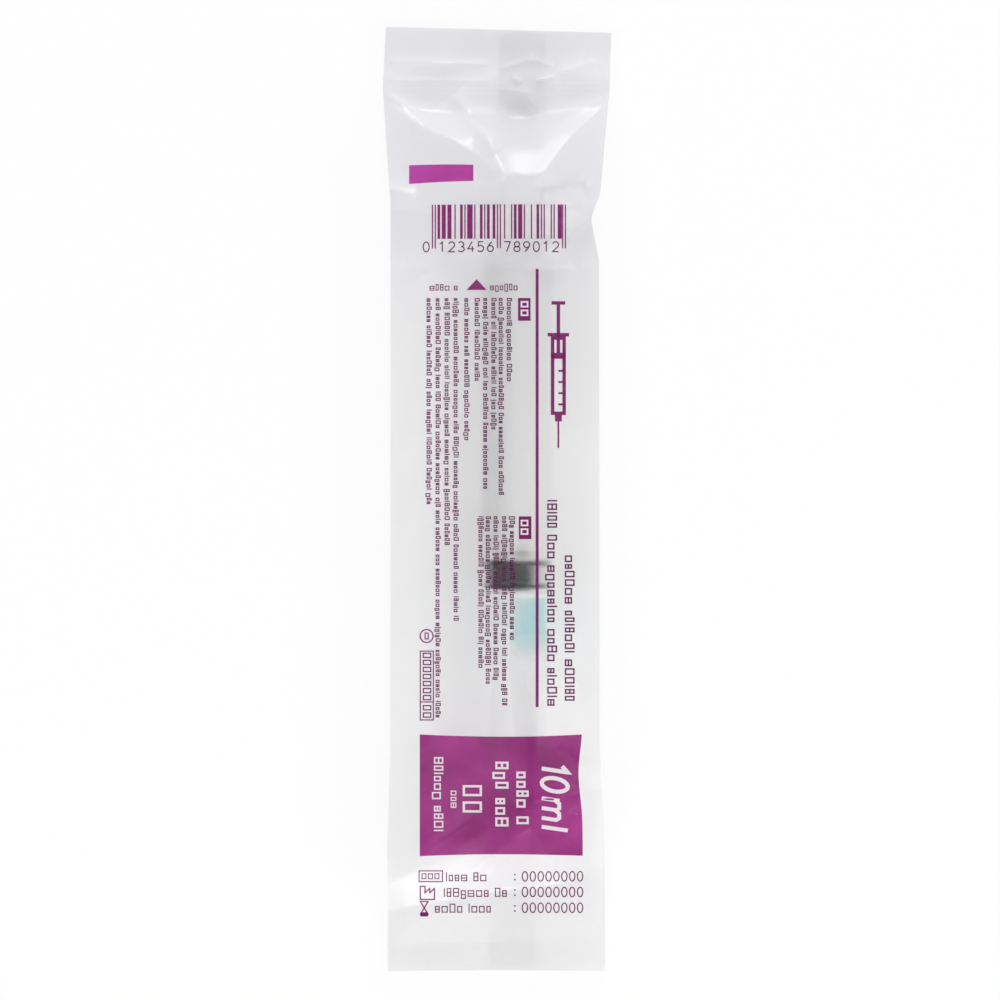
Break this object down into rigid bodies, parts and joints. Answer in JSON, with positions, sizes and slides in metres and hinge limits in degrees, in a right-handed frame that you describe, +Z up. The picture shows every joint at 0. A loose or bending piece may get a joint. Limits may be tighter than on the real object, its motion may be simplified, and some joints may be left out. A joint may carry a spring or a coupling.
{
  "type": "packed syringe",
  "caption": "Disposable syringe with a capped needle on an offset nozzle, lying in a sealed, printed translucent film pouch; its plunger slides within the pouch's room.",
  "frame": {"origin": "middle of the pouch's underside, on the surface that it lies on", "axes": "+X across the pouch, +Y along it towards the thumb rest, +Z up from the surface"},
  "size_m": [0.0532, 0.2206, 0.0198],
  "materials": {
    "film": "milky translucent polyethylene film with a soft sheen and magenta print",
    "clear_moulding": "clear moulded polypropylene, smooth",
    "white_moulding": "white moulded polypropylene, satin",
    "black_rubber": "black synthetic rubber, lightly oiled",
    "teal_moulding": "teal moulded polypropylene, translucent at its edges",
    "needle_steel": "drawn stainless tube, polished",
    "clear_bond": "clear cured adhesive",
    "cap_moulding": "clear moulded polyethylene, slightly hazy"
  },
  "bodies": {
    "pack": {"film_pouch": "film", "barrel": "clear_moulding", "needle_hub": "teal_moulding", "cannula": "needle_steel", "needle_bond": "clear_bond", "needle_cap": "cap_moulding"},
    "plunger": {"plunger_rod": "white_moulding", "stopper": "black_rubber"}
  },
  "joints": [
    {"name": "plunger_slide", "type": "slide", "parent": "pack", "child": "plunger", "axis": [0, 1, 0], "range_m": [0, 0.0048]}
  ]
}
